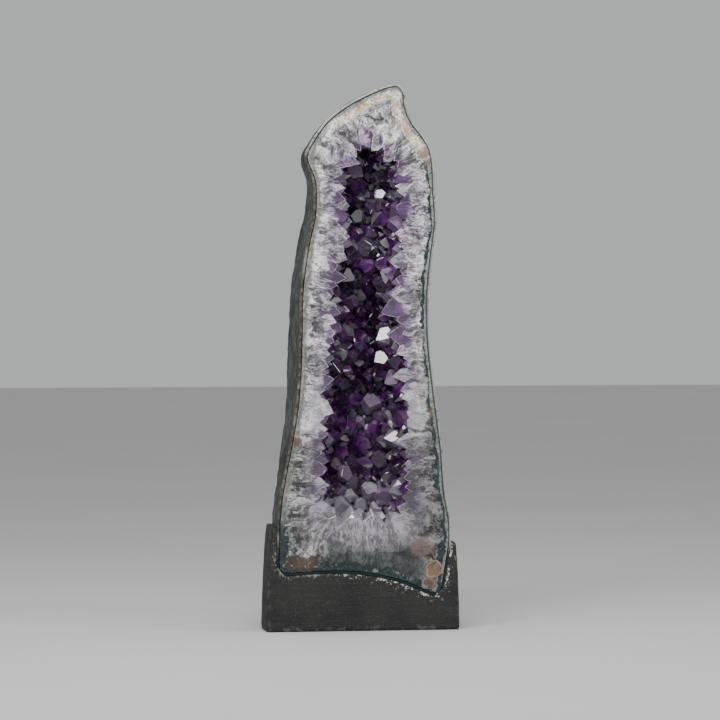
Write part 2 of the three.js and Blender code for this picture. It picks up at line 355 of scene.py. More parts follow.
set_attribute(basalt_skin, "off_wall", off_wall)

# The cement was poured against the rind, so the foot's nest follows it closely.
JOINT = 0.25 * MM
skin = BVHTree.FromPolygons([v.co for v in basalt_skin.data.vertices],
                            [p.vertices for p in basalt_skin.data.polygons])
seam = []
normals = [v.normal.copy() for v in cast_foot.data.vertices]
for vertex, normal in zip(cast_foot.data.vertices, normals):
    spot, _, _, gap = skin.find_nearest(vertex.co)
    if JOINT < gap < 5 * MM:
        facing = smooth_step(normal.dot((spot - vertex.co) / gap), 0.2, 0.7)
        vertex.co += (spot - vertex.co) * (1 - JOINT / gap) * float(facing)
        gap = (spot - vertex.co).length
    seam.append(gap)
set_attribute(cast_foot, "seam", seam)

basalt, tree, shader = new_material("rubbed_basalt")
marks = use_group(tree, mottle, patch_scale=26.0, grit_scale=480.0)
place = object_place(tree)
patches = ease(tree, marks.outputs["Patches"], 0.32, 0.68)
colour = mix(tree, patches, RIND_DARK, RIND_LIGHT)
blotches = noise(tree, place, 110.0, 5, 0.7)
colour = mix(tree, ease(tree, blotches, 0.50, 0.62, 0, 0.5), colour, (0.016, 0.018, 0.017, 1))
colour = mix(tree, ease(tree, blotches, 0.46, 0.36, 0, 0.5), colour, (0.15, 0.158, 0.147, 1))
wheel = noise(tree, stretch(tree, place, (260, 260, 22)), 1.0, 4, 0.6)
colour = mix(tree, ease(tree, wheel, 0.5, 0.8, 0, 0.5), colour, (0.23, 0.235, 0.225, 1))
green = noise(tree, place, 34.0, 3, 0.5)
colour = mix(tree, ease(tree, green, 0.62, 0.72, 0, 0.55), colour, CELADON)
pits = cells(tree, place, 210.0)
pit = ease(tree, pits.outputs["Distance"], 0.30, 0.12)
# The pits are painted darker: painted shade in the pits.
colour = mix(tree, times(tree, pit, 0.6), colour, (0.02, 0.022, 0.022, 1))
colour = mix(tree, times(tree, marks.outputs["Specks"], 0.5), colour, (0.35, 0.35, 0.33, 1))
ragged = noise(tree, place, 260.0, 3, 0.6)
axes = node(tree, "ShaderNodeSeparateXYZ", {0: place})
edge = attribute(tree, "edge")
on_left = times(tree, ease(tree, axes.outputs[0], 0.0, -0.02), ease(tree, axes.outputs[2], 0.50, 0.47))
outermost = ease(tree, attribute(tree, "off_wall"), 1.2 * MM, 2.4 * MM)
outermost = times(tree, ease(tree, ragged, 0.34, 0.48), outermost)
tone = mix(tree, outermost, (0.085, 0.095, 0.088, 1), RIND_EDGE)
brown = mix(tree, ease(tree, ragged, 0.46, 0.58), (0.045, 0.045, 0.04, 1), RIND_BROWN)
brown = mix(tree, ease(tree, green, 0.54, 0.62), brown, (0.22, 0.215, 0.19, 1))
tone = mix(tree, on_left, tone, brown)
below = ease(tree, axes.outputs[2], 0.092, 0.074)
tone = mix(tree, below, tone, mix(tree, ease(tree, ragged, 0.45, 0.6), (0.006, 0.02, 0.022, 1), RIND_DARK))
colour = mix(tree, edge, colour, tone)
height = minus(tree, marks.outputs["Grit"], pit)
height = plus(tree, height, times(tree, wheel, 0.6))
bump = node(tree, "ShaderNodeBump", {"Strength": 0.7, "Distance": 0.6 * MM, "Height": height})
tree.links.new(colour, shader.inputs["Base Color"])
tree.links.new(bump.outputs[0], shader.inputs["Normal"])
tree.links.new(ease(tree, marks.outputs["Grit"], 0.2, 0.8, 0.6, 0.9), shader.inputs["Roughness"])
shader.inputs["Specular IOR Level"].default_value = 0.3
basalt_skin.data.materials.append(basalt)
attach(basalt_skin, "root")
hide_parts("basalt_rind")


# ==== the quartz wall =============================================================================
# Chalcedony, agate and then long columns of quartz that grew inwards from the rock and turn purple
# where they end as crystals. The front is sawn through them and polished to a soft gloss.

RING_ROWS = 26
TEAL = (0.003, 0.011, 0.013, 1)
AGATE_GREY = (0.085, 0.098, 0.090, 1)
AGATE_CREAM = (0.66, 0.56, 0.44, 1)
ROCK_GREY = (0.09, 0.10, 0.095, 1)
DEEP_PURPLE_AND_SHADE = (0.016, 0.006, 0.024, 1)

polished_quartz = copy_of("quartz_wall", "polished_quartz")
crease_face_edges(polished_quartz)
round_off(polished_quartz)
bpy.ops.object.mode_set(mode="EDIT")
bpy.ops.mesh.select_all(action="DESELECT")
bpy.ops.mesh.select_mode(type="FACE")
bpy.ops.object.mode_set(mode="OBJECT")
for polygon in polished_quartz.data.polygons:
    polygon.select = polygon.normal.y < -0.99 and abs(polygon.center.y - FRONT) < 0.02 * MM
bpy.ops.object.mode_set(mode="EDIT")
bpy.ops.mesh.delete(type="FACE")
bpy.ops.mesh.select_mode(type="EDGE")
bpy.ops.mesh.select_non_manifold(extend=False)
bpy.ops.object.mode_set(mode="OBJECT")


def loops_of(mesh):
    """The selected edges as closed loops of vertex positions (x, z), the longest first."""
    linked = {}
    for edge in mesh.edges:
        if edge.select:
            a, b = edge.vertices
            linked.setdefault(a, []).append(b)
            linked.setdefault(b, []).append(a)
    loops = []
    while linked:
        loop = [next(iter(linked))]
        while True:
            after = [v for v in linked.pop(loop[-1]) if v in linked]
            if not after:
                break
            loop.append(after[0])
        loops.append(np.array([[mesh.vertices[v].co.x, mesh.vertices[v].co.z] for v in loop]))
    return sorted(loops, key=lambda points: -np.ptp(points[:, 1]))


rim_loop, hollow_loop = loops_of(polished_quartz.data)[:2]
bpy.ops.object.mode_set(mode="EDIT")
bpy.ops.mesh.bridge_edge_loops(number_cuts=RING_ROWS, interpolation="LINEAR")
bpy.ops.object.mode_set(mode="OBJECT")


def nearest_on_loop(loop, points):
    """For each point, its distance to a closed loop, signed by its side, and its share of the way round."""
    ends = np.roll(loop, -1, axis=0)
    along = ends - loop
    lengths = np.linalg.norm(along, axis=1)
    starts = np.concatenate([[0], np.cumsum(lengths)[:-1]])
    offset = points[:, None, :] - loop[None]
    share = np.clip((offset * along).sum(2) / (lengths**2), 0, 1)
    gaps = np.linalg.norm(offset - share[:, :, None] * along, axis=2)
    best = gaps.argmin(1)
    rows = np.arange(len(points))
    spans = (loop[None, :, 1] > points[:, None, 1]) != (ends[None, :, 1] > points[:, None, 1])
    rise = np.where(along[:, 1] == 0, 1, along[:, 1])
    crossing = loop[None, :, 0] + (points[:, None, 1] - loop[None, :, 1]) / rise * along[:, 0]
    meets = crossing > points[:, None, 0]
    side = np.where((spans & meets).sum(1) % 2, -1, 1)
    return gaps[rows, best] * side, (starts[best] + share[rows, best] * lengths[best]) / lengths.sum()


def set_growth(piece):
    """How deep in the quartz each vertex lies, and a vector that runs along the columns."""
    flat = points_of(piece)[:, [0, 2]]
    from_rim, _ = nearest_on_loop(rim_loop, flat)
    depth, share = nearest_on_loop(hollow_loop, flat)
    radius = np.linalg.norm(hollow_loop - np.roll(hollow_loop, 1, axis=0), axis=1).sum() / (2 * math.pi)
    turn = share * 2 * math.pi
    set_attribute(piece, "from_rim", np.abs(from_rim))
    set_attribute(piece, "depth", depth)
    columns = np.stack([radius * np.cos(turn), radius * np.sin(turn), depth], axis=1)
    set_attribute(piece, "columns", columns, "FLOAT_VECTOR")


set_growth(polished_quartz)

# Columns of quartz with fine fibres, for the wall and for the crystals that the saw cut through.
quartz_body, given, result = new_group(
    "quartz_body",
    {"Columns": ("NodeSocketVector", (0, 0, 0))},
    {"Color": "NodeSocketColor", "Fibre": "NodeSocketFloat", "Column": "NodeSocketFloat",
     "Joint": "NodeSocketFloat"},
)
place = object_place(quartz_body)
source = given.outputs["Columns"]
bend = node(quartz_body, "ShaderNodeTexNoise", {"Vector": source, "Scale": 60.0, "Detail": 3.0})
bend = vector_maths(quartz_body, "SUBTRACT", {0: bend.outputs["Color"], 1: (0.5, 0.5, 0.5)})
bend = vector_maths(quartz_body, "SCALE", {0: bend, "Scale": 16 * MM})
source = vector_maths(quartz_body, "ADD", {0: source, 1: bend})
fine = noise(quartz_body, stretch(quartz_body, source, (560, 560, 95)), 1.0, 4, 0.62)
wide = noise(quartz_body, stretch(quartz_body, source, (150, 150, 34)), 1.0, 3, 0.6)
cloud = noise(quartz_body, place, 70.0, 5, 0.62, 0.5)
fleck = noise(quartz_body, place, 620.0, 3, 0.7)
grown = cells(quartz_body, stretch(quartz_body, source, (120, 120, 20)))
parts = node(quartz_body, "ShaderNodeSeparateColor", {"Color": grown.outputs["Color"]})
split = cells(quartz_body, stretch(quartz_body, source, (120, 120, 20)), feature="DISTANCE_TO_EDGE")
joint = ease(quartz_body, plus(quartz_body, split.outputs["Distance"],
                                times(quartz_body, fleck, 0.10)), 0.13, 0.05)
joint = times(quartz_body, joint, ease(quartz_body, cloud, 0.42, 0.58))
bright = times(quartz_body, fine, 0.95)
for part, share in ((wide, 0.70), (cloud, 0.75), (fleck, 0.50), (parts.outputs[0], 0.16)):
    bright = plus(quartz_body, bright, times(quartz_body, part, share))
clear_grey, cloudy_grey = (0.055, 0.057, 0.056, 1), (0.22, 0.212, 0.217, 1)
colour = mix(quartz_body, ease(quartz_body, bright, 1.34, 1.47), clear_grey, cloudy_grey)
colour = mix(quartz_body, ease(quartz_body, bright, 1.46, 1.58), colour, (0.47, 0.45, 0.465, 1))
colour = mix(quartz_body, ease(quartz_body, bright, 1.57, 1.71), colour, (0.92, 0.905, 0.89, 1))
colour = mix(quartz_body, times(quartz_body, joint, 0.75), colour, (0.88, 0.87, 0.87, 1))
# The quartz is painted darker downwards, as painted shade for the light falling off towards the bottom, and
# darker still at the lower right, apart from the milky part under the crystals.
axes = node(quartz_body, "ShaderNodeSeparateXYZ", {0: place})
painted_falloff = ease(quartz_body, axes.outputs[2], 0.10, 0.34, 0.60, 1.0)
low_right = times(quartz_body, ease(quartz_body, axes.outputs[0], 0.015, 0.055),
                  ease(quartz_body, axes.outputs[2], 0.32, 0.20, 0, 0.30))
painted_falloff = minus(quartz_body, painted_falloff, low_right)
falloff_colour = vector_maths(quartz_body, "SCALE", {0: colour, "Scale": painted_falloff})
milk = stretch(quartz_body, place, (1 / 0.050, 0, 1 / 0.026), (-0.012 / 0.050, 0, -0.108 / 0.026))
milk = node(quartz_body, "ShaderNodeVectorMath", {0: milk}, operation="LENGTH").outputs["Value"]
milk = ease(quartz_body, plus(quartz_body, milk, times(quartz_body, wide, 0.6)), 1.35, 0.7, 0, 0.75)
milk_tone = mix(quartz_body, ease(quartz_body, bright, 1.38, 1.66),
                (0.17, 0.16, 0.17, 1), (0.64, 0.61, 0.63, 1))
colour = mix(quartz_body, milk, falloff_colour, milk_tone)
# The translucent grey zone at the bottom, below the milky crystals.
off_middle = maths(quartz_body, "ABSOLUTE", minus(quartz_body, axes.outputs[0], 0.010))
edge_of_grey = plus(quartz_body, axes.outputs[2], times(quartz_body, wide, -0.020))
clear = times(quartz_body, ease(quartz_body, edge_of_grey, 0.086, 0.066),
              ease(quartz_body, off_middle, 0.062, 0.040))
grey = mix(quartz_body, ease(quartz_body, bright, 1.3, 1.8),
           (0.018, 0.023, 0.023, 1), (0.076, 0.086, 0.085, 1))
colour = mix(quartz_body, times(quartz_body, clear, 0.95), colour, grey)
quartz_body.links.new(colour, result.inputs["Color"])
quartz_body.links.new(fine, result.inputs["Fibre"])
quartz_body.links.new(parts.outputs[1], result.inputs["Column"])
quartz_body.links.new(joint, result.inputs["Joint"])


def add_purple(tree, colour, body, depth, amount):
    """Amethyst colour in the last stretch of each column, deepest next to the hollow."""
    ragged = times(tree, minus(tree, body.outputs["Fibre"], 0.5), 22 * MM)
    level = plus(tree, depth, ragged)
    tint = times(tree, ease(tree, level, 20 * MM, -8 * MM), ease(tree, amount, 0.0, 0.5, 0.45, 1.0))
    colour = mix(tree, tint, colour, mix(tree, 1.0, colour, (0.66, 0.48, 0.78, 1), "MULTIPLY"))
    strong = times(tree, ease(tree, level, 15 * MM, -5 * MM), ease(tree, amount, 0.30, 0.80))
    dark = mix(tree, 1.0, colour, (0.27, 0.10, 0.34, 1), "MULTIPLY")
    return mix(tree, strong, colour, mix(tree, 0.35, dark, (0.050, 0.016, 0.070, 1)))


quartz, tree, shader = new_material("sawn_quartz")
place = object_place(tree)
axes = node(tree, "ShaderNodeSeparateXYZ", {0: place})
to_right, inwards, height_up = axes.outputs
from_rim, depth = attribute(tree, "from_rim"), attribute(tree, "depth")
body = use_group(tree, quartz_body, columns=attribute(tree, "columns", "Vector"))
marks = use_group(tree, mottle, patch_scale=24.0, grit_scale=420.0)
patches = marks.outputs["Patches"]
colour = add_purple(tree, body.outputs["Color"], body, depth, ease(tree, body.outputs["Column"], 0.35, 0.95))

# Agate next to the rock. Its layers follow the rim, with a slow and a quick wave.
wave = minus(tree, noise(tree, place, 55.0, 5, 0.66), 0.5)
level = plus(tree, from_rim, times(tree, wave, 11 * MM))
fine_grey = mix(tree, ease(tree, marks.outputs["Grit"], 0.35, 0.65), AGATE_GREY, (0.27, 0.285, 0.27, 1))
outer = ease(tree, level, 6.5 * MM, 4.0 * MM)
colour = mix(tree, times(tree, outer, 0.8), colour, fine_grey)

# Cream agate along the slopes beside the peak, with fine grey lines on both of its sides.
PEAK_X, BAND_LEFT, BAND_RIGHT = 0.032, 0.506, 0.482
on_left = times(tree, ease(tree, height_up, BAND_LEFT - 0.006, BAND_LEFT + 0.006),
                ease(tree, to_right, PEAK_X + 0.004, PEAK_X - 0.004))
on_right = times(tree, ease(tree, height_up, BAND_RIGHT - 0.006, BAND_RIGHT + 0.004),
                 ease(tree, to_right, PEAK_X - 0.004, PEAK_X + 0.004))
top = maths(tree, "MAXIMUM", on_left, on_right)
band = times(tree, ease(tree, level, 12.0 * MM, 10.5 * MM), ease(tree, level, 1.0 * MM, 2.6 * MM))
band = times(tree, band, top)
pale_patch = ease(tree, noise(tree, place, 110.0, 4, 0.7), 0.40, 0.60)
cream = mix(tree, pale_patch, AGATE_CREAM, (0.97, 0.93, 0.84, 1))
brown_patch = ease(tree, noise(tree, place, 170.0, 4, 0.7), 0.48, 0.58)
cream = mix(tree, times(tree, brown_patch, 0.72), cream, (0.45, 0.28, 0.16, 1))
brown_dots = ease(tree, noise(tree, place, 430.0, 3, 0.75), 0.51, 0.58)
cream = mix(tree, times(tree, brown_dots, 0.75), cream, (0.20, 0.17, 0.13, 1))
colour = mix(tree, times(tree, band, 0.92), colour, cream)
for line_level in (12.4, 14.6, 2.0):
    away = maths(tree, "ABSOLUTE", minus(tree, level, line_level * MM))
    thin = times(tree, ease(tree, away, 0.8 * MM, 0.2 * MM), top)
    colour = mix(tree, times(tree, thin, 0.65), colour, (0.15, 0.155, 0.14, 1))

# The dark teal line of celadonite: thin on the right, thicker downwards and across the bottom.
right = times(tree, ease(tree, to_right, 0.0, 0.02), ease(tree, height_up, 0.478, 0.455))
low = times(tree, ease(tree, height_up, 0.100, 0.078), ease(tree, to_right, -0.083, -0.074))
corner = times(tree, ease(tree, height_up, 0.120, 0.100), ease(tree, to_right, -0.066, -0.072))
low = times(tree, low, ease(tree, to_right, 0.081, 0.073))
low = maths(tree, "MAXIMUM", low, corner)
width = plus(tree, times(tree, ease(tree, height_up, 0.30, 0.12), 0.9 * MM), 0.95 * MM)
width = plus(tree, width, times(tree, low, 0.6 * MM))
blobs = noise(tree, place, 95.0, 4, 0.65)
width = times(tree, width, ease(tree, blobs, 0.34, 0.66, 0.25, 2.0))
start = plus(tree, width, ease(tree, low, 0, 1, 2.4 * MM, 0.2 * MM))
away = minus(tree, level, start)
away = node(tree, "ShaderNodeMix", {0: low, 2: maths(tree, "ABSOLUTE", away), 3: away}).outputs[0]
teal = ease(tree, minus(tree, away, width), 0.5 * MM, -0.3 * MM)
teal = times(tree, teal, maths(tree, "MAXIMUM", right, low))
teal_tone = mix(tree, ease(tree, body.outputs["Fibre"], 0.40, 0.62), TEAL, (0.011, 0.029, 0.032, 1))
pale_grit = ease(tree, marks.outputs["Grit"], 0.60, 0.68, 0, 0.6)
teal_tone = mix(tree, pale_grit, teal_tone, (0.13, 0.16, 0.155, 1))
colour = mix(tree, times(tree, teal, 0.96), colour, teal_tone)

# A broken line of rock between the rind and the quartz on the left.
left = times(tree, ease(tree, to_right, 0.0, -0.02), ease(tree, height_up, 0.09, 0.12))
left = times(tree, left, ease(tree, height_up, 0.500, 0.480))
away = maths(tree, "ABSOLUTE", minus(tree, level, 2.4 * MM))
broken = times(tree, ease(tree, away, 1.7 * MM, 0.6 * MM), ease(tree, blobs, 0.40, 0.52))
broken = times(tree, broken, left)
rock = mix(tree, ease(tree, patches, 0.4, 0.6), ROCK_GREY, (0.17, 0.14, 0.105, 1))
colour = mix(tree, times(tree, broken, 0.85), colour, rock)

# Iron stains and brown agate: x, z, half width, half height, colour, strength.
STAINS = [
    (-0.067, 0.192, 0.006, 0.006, (0.120, 0.075, 0.042, 1), 0.90),
    (0.064, 0.220, 0.010, 0.004, (0.220, 0.130, 0.040, 1), 0.85),
    (-0.052, 0.208, 0.010, 0.004, (0.230, 0.150, 0.060, 1), 0.70),
    (-0.061, 0.069, 0.017, 0.008, (0.072, 0.045, 0.030, 1), 0.97),
    (0.070, 0.060, 0.009, 0.012, (0.170, 0.105, 0.055, 1), 0.70),
    (0.059, 0.084, 0.012, 0.008, (0.190, 0.125, 0.110, 1), 0.85),
    (0.064, 0.477, 0.008, 0.006, (0.250, 0.170, 0.100, 1), 0.80),
    (-0.076, 0.455, 0.006, 0.007, (0.070, 0.078, 0.070, 1), 0.75),
]


def distance_inside(tree, place, x, z, wide, high):
    """0 at the middle of an ellipse on the sawn face and 1 on its outline."""
    near = stretch(tree, place, (1 / wide, 0, 1 / high), (-x / wide, 0, -z / high))
    return node(tree, "ShaderNodeVectorMath", {0: near}, operation="LENGTH").outputs["Value"]


swirl = node(tree, "ShaderNodeTexNoise", {"Vector": place, "Scale": 120.0, "Detail": 3.0, "Roughness": 0.65})
swirl = vector_maths(tree, "SUBTRACT", {0: swirl.outputs["Color"], 1: (0.5, 0.5, 0.5)})
swirl = vector_maths(tree, "SCALE", {0: swirl, "Scale": 30 * MM})
swirled = vector_maths(tree, "ADD", {0: place, 1: swirl})
for x, z, wide, high, stain, strength in STAINS:
    near = distance_inside(tree, swirled, x, z, wide, high)
    stained = times(tree, ease(tree, near, 1.2, 0.7, 0, strength),
                    ease(tree, body.outputs["Fibre"], 0.30, 0.48, 0.7, 1.0))
    tone = mix(tree, 0.25, stain, colour, "OVERLAY")
    colour = mix(tree, stained, colour, tone)

# Rounded bodies of agate with a pale or dark rim line: x, z, half width, half height, line, inside.
EYES = [
    (0.061, 0.480, 0.009, 0.007, (0.62, 0.60, 0.55, 1), (0.26, 0.20, 0.14, 1)),
    (-0.074, 0.097, 0.0035, 0.0035, (0.07, 0.07, 0.066, 1), (0.34, 0.33, 0.30, 1)),
    (-0.034, 0.098, 0.008, 0.007, (0.68, 0.64, 0.58, 1), (0.30, 0.26, 0.25, 1)),
    (0.071, 0.062, 0.008, 0.008, (0.40, 0.32, 0.23, 1), (0.22, 0.13, 0.065, 1)),
    (0.066, 0.048, 0.006, 0.004, (0.30, 0.23, 0.17, 1), (0.12, 0.07, 0.05, 1)),
]
half_swirled = vector_maths(tree, "ADD", {0: place, 1: swirled})
half_swirled = vector_maths(tree, "SCALE", {0: half_swirled, "Scale": 0.5})
for x, z, wide, high, line, inside in EYES:
    near = distance_inside(tree, half_swirled, x, z, wide, high)
    filled = times(tree, ease(tree, near, 1.0, 0.7, 0, 0.75),
                   ease(tree, body.outputs["Fibre"], 0.38, 0.60, 0.35, 1.0))
    colour = mix(tree, filled, colour, inside)
    ring = ease(tree, maths(tree, "ABSOLUTE", minus(tree, near, 1.0)), 0.16, 0.05)
    colour = mix(tree, times(tree, ring, 0.6), colour, line)

# Behind the crystals the wall is painted deep purple, near black: partly the amethyst's own colour, partly
# painted shade for the gaps between the crystals.
colour = mix(tree, ease(tree, inwards, FRONT + 0.3 * MM, FRONT + 1.2 * MM), colour, DEEP_PURPLE_AND_SHADE)

scratches = noise(tree, stretch(tree, place, (90, 90, 900)), 1.0, 3, 0.6)
height = plus(tree, times(tree, body.outputs["Fibre"], 0.5),
               times(tree, scratches, 0.2))
height = minus(tree, height, times(tree, body.outputs["Joint"], 0.2))
bump = node(tree, "ShaderNodeBump", {"Strength": 0.35, "Distance": 0.3 * MM, "Height": height})
tree.links.new(colour, shader.inputs["Base Color"])
tree.links.new(bump.outputs[0], shader.inputs["Normal"])
tree.links.new(ease(tree, scratches, 0.3, 0.7, 0.25, 0.45), shader.inputs["Roughness"])
shader.inputs["Specular IOR Level"].default_value = 0.35
shader.inputs["Coat Weight"].default_value = 0.08
shader.inputs["Coat Roughness"].default_value = 0.10
polished_quartz.data.materials.append(quartz)
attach(polished_quartz, "root")
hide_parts("quartz_wall")


# ==== the crystals ================================================================================
# Six-sided amethyst points crowd the whole wall of the hollow, small ones between large ones. Those
# at the rim are cut through by the saw, and the ones at the bottom are milky quartz.

POINTS = [  # kinds of points: how far each tip face is set back, in crystal radii
    (0.00, 0.30, 0.06, 0.22, -0.05, 0.40),
    (-0.10, 0.45, 0.10, 0.12, 0.02, 0.30),
    (0.08, 0.10, -0.08, 0.50, 0.05, 0.20),
    (0.02, 0.55, -0.02, 0.42, 0.00, 0.60),
    (0.12, 0.05, 0.00, 0.15, -0.12, 0.10),
    (-0.15, 0.35, 0.20, 0.60, 0.10, 0.45),
]
TIP_SLOPE = 1.27  # rise over run of a tip face in quartz
SHAFT = 0.55  # the prism's length above the wall, in radii
ROOT = 1.3  # and below it
EDGE = 0.022  # width of the worn edges
TOP = SHAFT + TIP_SLOPE * math.cos(math.pi / 6)

crystal_points = []
for number, setbacks in enumerate(POINTS):
    bpy.ops.mesh.primitive_cylinder_add(vertices=6, radius=1, depth=ROOT + TOP + 0.6,
                                        location=(0, 0, (TOP + 0.6 - ROOT) / 2))
    point = bpy.context.active_object
    point.name = f"crystal_point_{number}"
    bpy.ops.object.transform_apply(location=True, rotation=True, scale=True)
    bpy.ops.object.mode_set(mode="EDIT")
    for side, setback in enumerate(setbacks):
        angle = side * math.pi / 3
        outwards = Vector((math.cos(angle) * TIP_SLOPE, math.sin(angle) * TIP_SLOPE, 1)).normalized()
        bpy.ops.mesh.select_all(action="SELECT")
        bpy.ops.mesh.bisect(plane_co=(0, 0, TOP - setback), plane_no=outwards,
                            use_fill=True, clear_outer=True)
    bpy.ops.mesh.select_all(action="SELECT")
    bpy.ops.mesh.remove_doubles(threshold=0.02)
    bpy.ops.mesh.bevel(offset=EDGE, segments=1, affect="EDGES")
    bpy.ops.object.mode_set(mode="OBJECT")
    crystal_points.append(point)

dice = random.Random(11)
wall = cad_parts["quartz_wall"].data
shell = BVHTree.FromPolygons([v.co for v in wall.vertices], [p.vertices for p in wall.polygons])


def wall_spot():
    """A random spot on the hollow's wall, and the direction off it: a ray from the hollow's middle."""
    height = dice.uniform(hollow_loop[:, 1].min() + 0.012, hollow_loop[:, 1].max() - 0.012)
    near = np.abs(hollow_loop[:, 1] - height).argsort()[:8]
    sides = hollow_loop[near, 0]
    start = Vector(((sides.min() + sides.max()) / 2, FRONT + 1 * MM, height))
    angle = dice.uniform(0, math.pi)
    tilt = dice.gauss(0, 0.35)
    away = Vector((math.cos(angle), math.sin(angle), tilt)).normalized()
    spot, normal, _, _ = shell.ray_cast(start, away)
    return (spot, normal) if spot and normal.dot(away) < 0 else (None, None)


def lean_of(amount):
    return Vector((dice.uniform(-1, 1), dice.uniform(-1, 1), dice.uniform(-1, 1))) * amount


spots = []  # place, axis, radius, share of milkiness, whether the saw cuts it


def add_spot(place, axis, radius, milky, cut, apart):
    for other in spots:
        if (other[0] - place).length < apart * (other[2] + radius):
            return
    spots.append((place, axis, radius, milky, cut))


# Cut crystals around the rim, their roots in the ring.
MILKY_TOP = 0.124  # the milky crystals are rooted below this height
steps = np.linalg.norm(hollow_loop - np.roll(hollow_loop, -1, axis=0), axis=1)
rounds = np.concatenate([[0], np.cumsum(steps)])
centre_x = hollow_loop[:, 0].mean()
travelled = 0.0
while travelled < rounds[-1] - 4 * MM:
    index = int(np.searchsorted(rounds, travelled, side="right") - 1) % len(hollow_loop)
    ahead = (index + 1) % len(hollow_loop)
    share = (travelled - rounds[index]) / steps[index]
    x, z = hollow_loop[index] * (1 - share) + hollow_loop[ahead] * share
    run, rise = hollow_loop[ahead] - hollow_loop[index]
    inward = Vector((-rise, 0, run)).normalized()
    if inward.dot(Vector((centre_x - x, 0, min(max(z, 0.16), 0.43) - z))) < 0:
        inward.negate()
    low = z < MILKY_TOP
    large = dice.random() < 0.14
    radius = (dice.uniform(7.0, 12.0) if low or large else dice.triangular(3.5, 9.0, 5.5)) * MM
    milky = dice.uniform(0.75, 1.0) if low else dice.choice((0.0, 0.2, 0.5, 0.8, 1.0))
    lean = Vector((dice.uniform(-1, 1), dice.uniform(-0.4, 0.5), dice.uniform(-1, 1))) * 0.30
    axis = (inward + lean).normalized()
    reach = dice.uniform(-4, 5) * MM
    place = Vector((x, FRONT + dice.uniform(-1.0, 3.0) * MM, z)) + inward * reach
    spots.append((place, axis, radius, milky, True))
    travelled += radius * dice.uniform(0.85, 1.30)

# The other crystals, large ones first: radii in millimetres, tries, how far apart they stand.
TIERS = [
    ((9.5, 12.5), 400, 0.80),
    ((6.8, 9.2), 5000, 0.72),
    ((4.5, 6.2), 8000, 0.70),
    ((2.6, 3.8), 9000, 0.72),
]
CUT_ZONE = 16 * MM  # how near the face a crystal is rooted that the saw may have reached
for radius_range, tries, apart in TIERS:
    for _ in range(tries):
        place, off = wall_spot()
        radius = dice.uniform(*radius_range) * MM
        milky = dice.choice((0.0, 0.0, 0.0, 0.0, 0.15, 0.3, 0.7))
        axis = None if off is None else (off + lean_of(0.42)).normalized()
        if place is None or abs(place.y - FRONT) < 3 * MM:
            continue
        if place.z < MILKY_TOP - 6 * MM:
            milky = max(milky, 0.6)
        add_spot(place, axis, radius, milky, place.y - FRONT < CUT_ZONE, apart)

# Each crystal joins the cluster that is nearest to it, and each cluster gets at least one.
centres = KDTree(64)
clusters = sorted(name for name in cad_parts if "cluster" in name)
middles = []
for index, name in enumerate(clusters):
    low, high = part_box(name)
    middles.append((low + high) / 2)
    centres.insert(middles[-1], index)
centres.balance()
home = [centres.find(spot[0])[1] for spot in spots]
for index, middle in enumerate(middles):
    if index not in home:
        closest = min(range(len(spots)), key=lambda k: (spots[k][0] - middle).length)
        home[closest] = index
grown_from = {name: [] for name in clusters}

OUTLINE = 0.55 * MM  # width of the pale line around a cut crystal
GLINTS_ABOVE = 0.37  # above this height more of the large crystals get a painted reflection, one face painted pale grey
for number, (place, axis, radius, milky, cut) in enumerate(spots):
    model = dice.choice(crystal_points)
    crystal = bpy.data.objects.new(f"crystal_{number}", model.data.copy())
    bpy.context.scene.collection.objects.link(crystal)
    turn = Vector((0, 0, 1)).rotation_difference(axis).to_matrix().to_4x4()
    spin = Matrix.Rotation(dice.uniform(0, math.pi), 4, "Z")
    longer = dice.uniform(1.0, 1.5) if cut else dice.uniform(0.9, 1.25)
    size = Matrix.Diagonal((radius * dice.uniform(0.9, 1.1), radius, radius * longer, 1))
    local = points_of(crystal)
    set_attribute(crystal, "grown", np.clip((local[:, 2] + ROOT) / (TOP + ROOT), 0, 1))
    crystal.data.transform(Matrix.Translation(place) @ turn @ spin @ size)
    if cut:
        select_only(crystal)
        bpy.ops.object.mode_set(mode="EDIT")
        bpy.ops.mesh.select_all(action="SELECT")
        proud = dice.uniform(0.02, 0.30) * MM
        bpy.ops.mesh.bisect(plane_co=(0, FRONT - proud, 0), plane_no=(0, -1, 0),
                            use_fill=True, clear_outer=True)
        bpy.ops.object.mode_set(mode="OBJECT")
        on_face = points_of(crystal)[:, 1] < FRONT - proud + 0.001 * MM
        for polygon in crystal.data.polygons:
            polygon.select = all(on_face[v] for v in polygon.vertices)
        if any(polygon.select for polygon in crystal.data.polygons):
            bpy.ops.object.mode_set(mode="EDIT")
            bpy.ops.mesh.select_mode(type="FACE")
            bpy.ops.mesh.inset(thickness=OUTLINE, depth=0)
            bpy.ops.object.mode_set(mode="OBJECT")
            inner = {v for polygon in crystal.data.polygons if polygon.select for v in polygon.vertices}
            outline = [float(v.index not in inner) for v in crystal.data.vertices]
            set_attribute(crystal, "outline", outline)
    set_growth(crystal)
    set_attribute(crystal, "milky", np.full(len(crystal.data.vertices), milky))
    set_attribute(crystal, "shade", np.full(len(crystal.data.vertices), dice.random()))
    # Painted reflection: on some crystals one large face turned to the front is painted pale grey, as if it
    # caught a soft box.
    glint = crystal.data.attributes.new("glint", "FLOAT", "FACE").data
    if not cut and radius > 4.5 * MM and dice.random() < (0.65 if place.z > GLINTS_ABOVE else 0.20):
        largest = max(polygon.area for polygon in crystal.data.polygons)
        faces = [p.index for p in crystal.data.polygons if p.normal.y < -0.35 and p.area > 0.15 * largest]
        if faces:
            glint[dice.choice(faces)].value = dice.uniform(0.45, 1.0)
    grown_from[clusters[home[number]]].append(crystal)
for point in crystal_points:
    bpy.data.objects.remove(point)

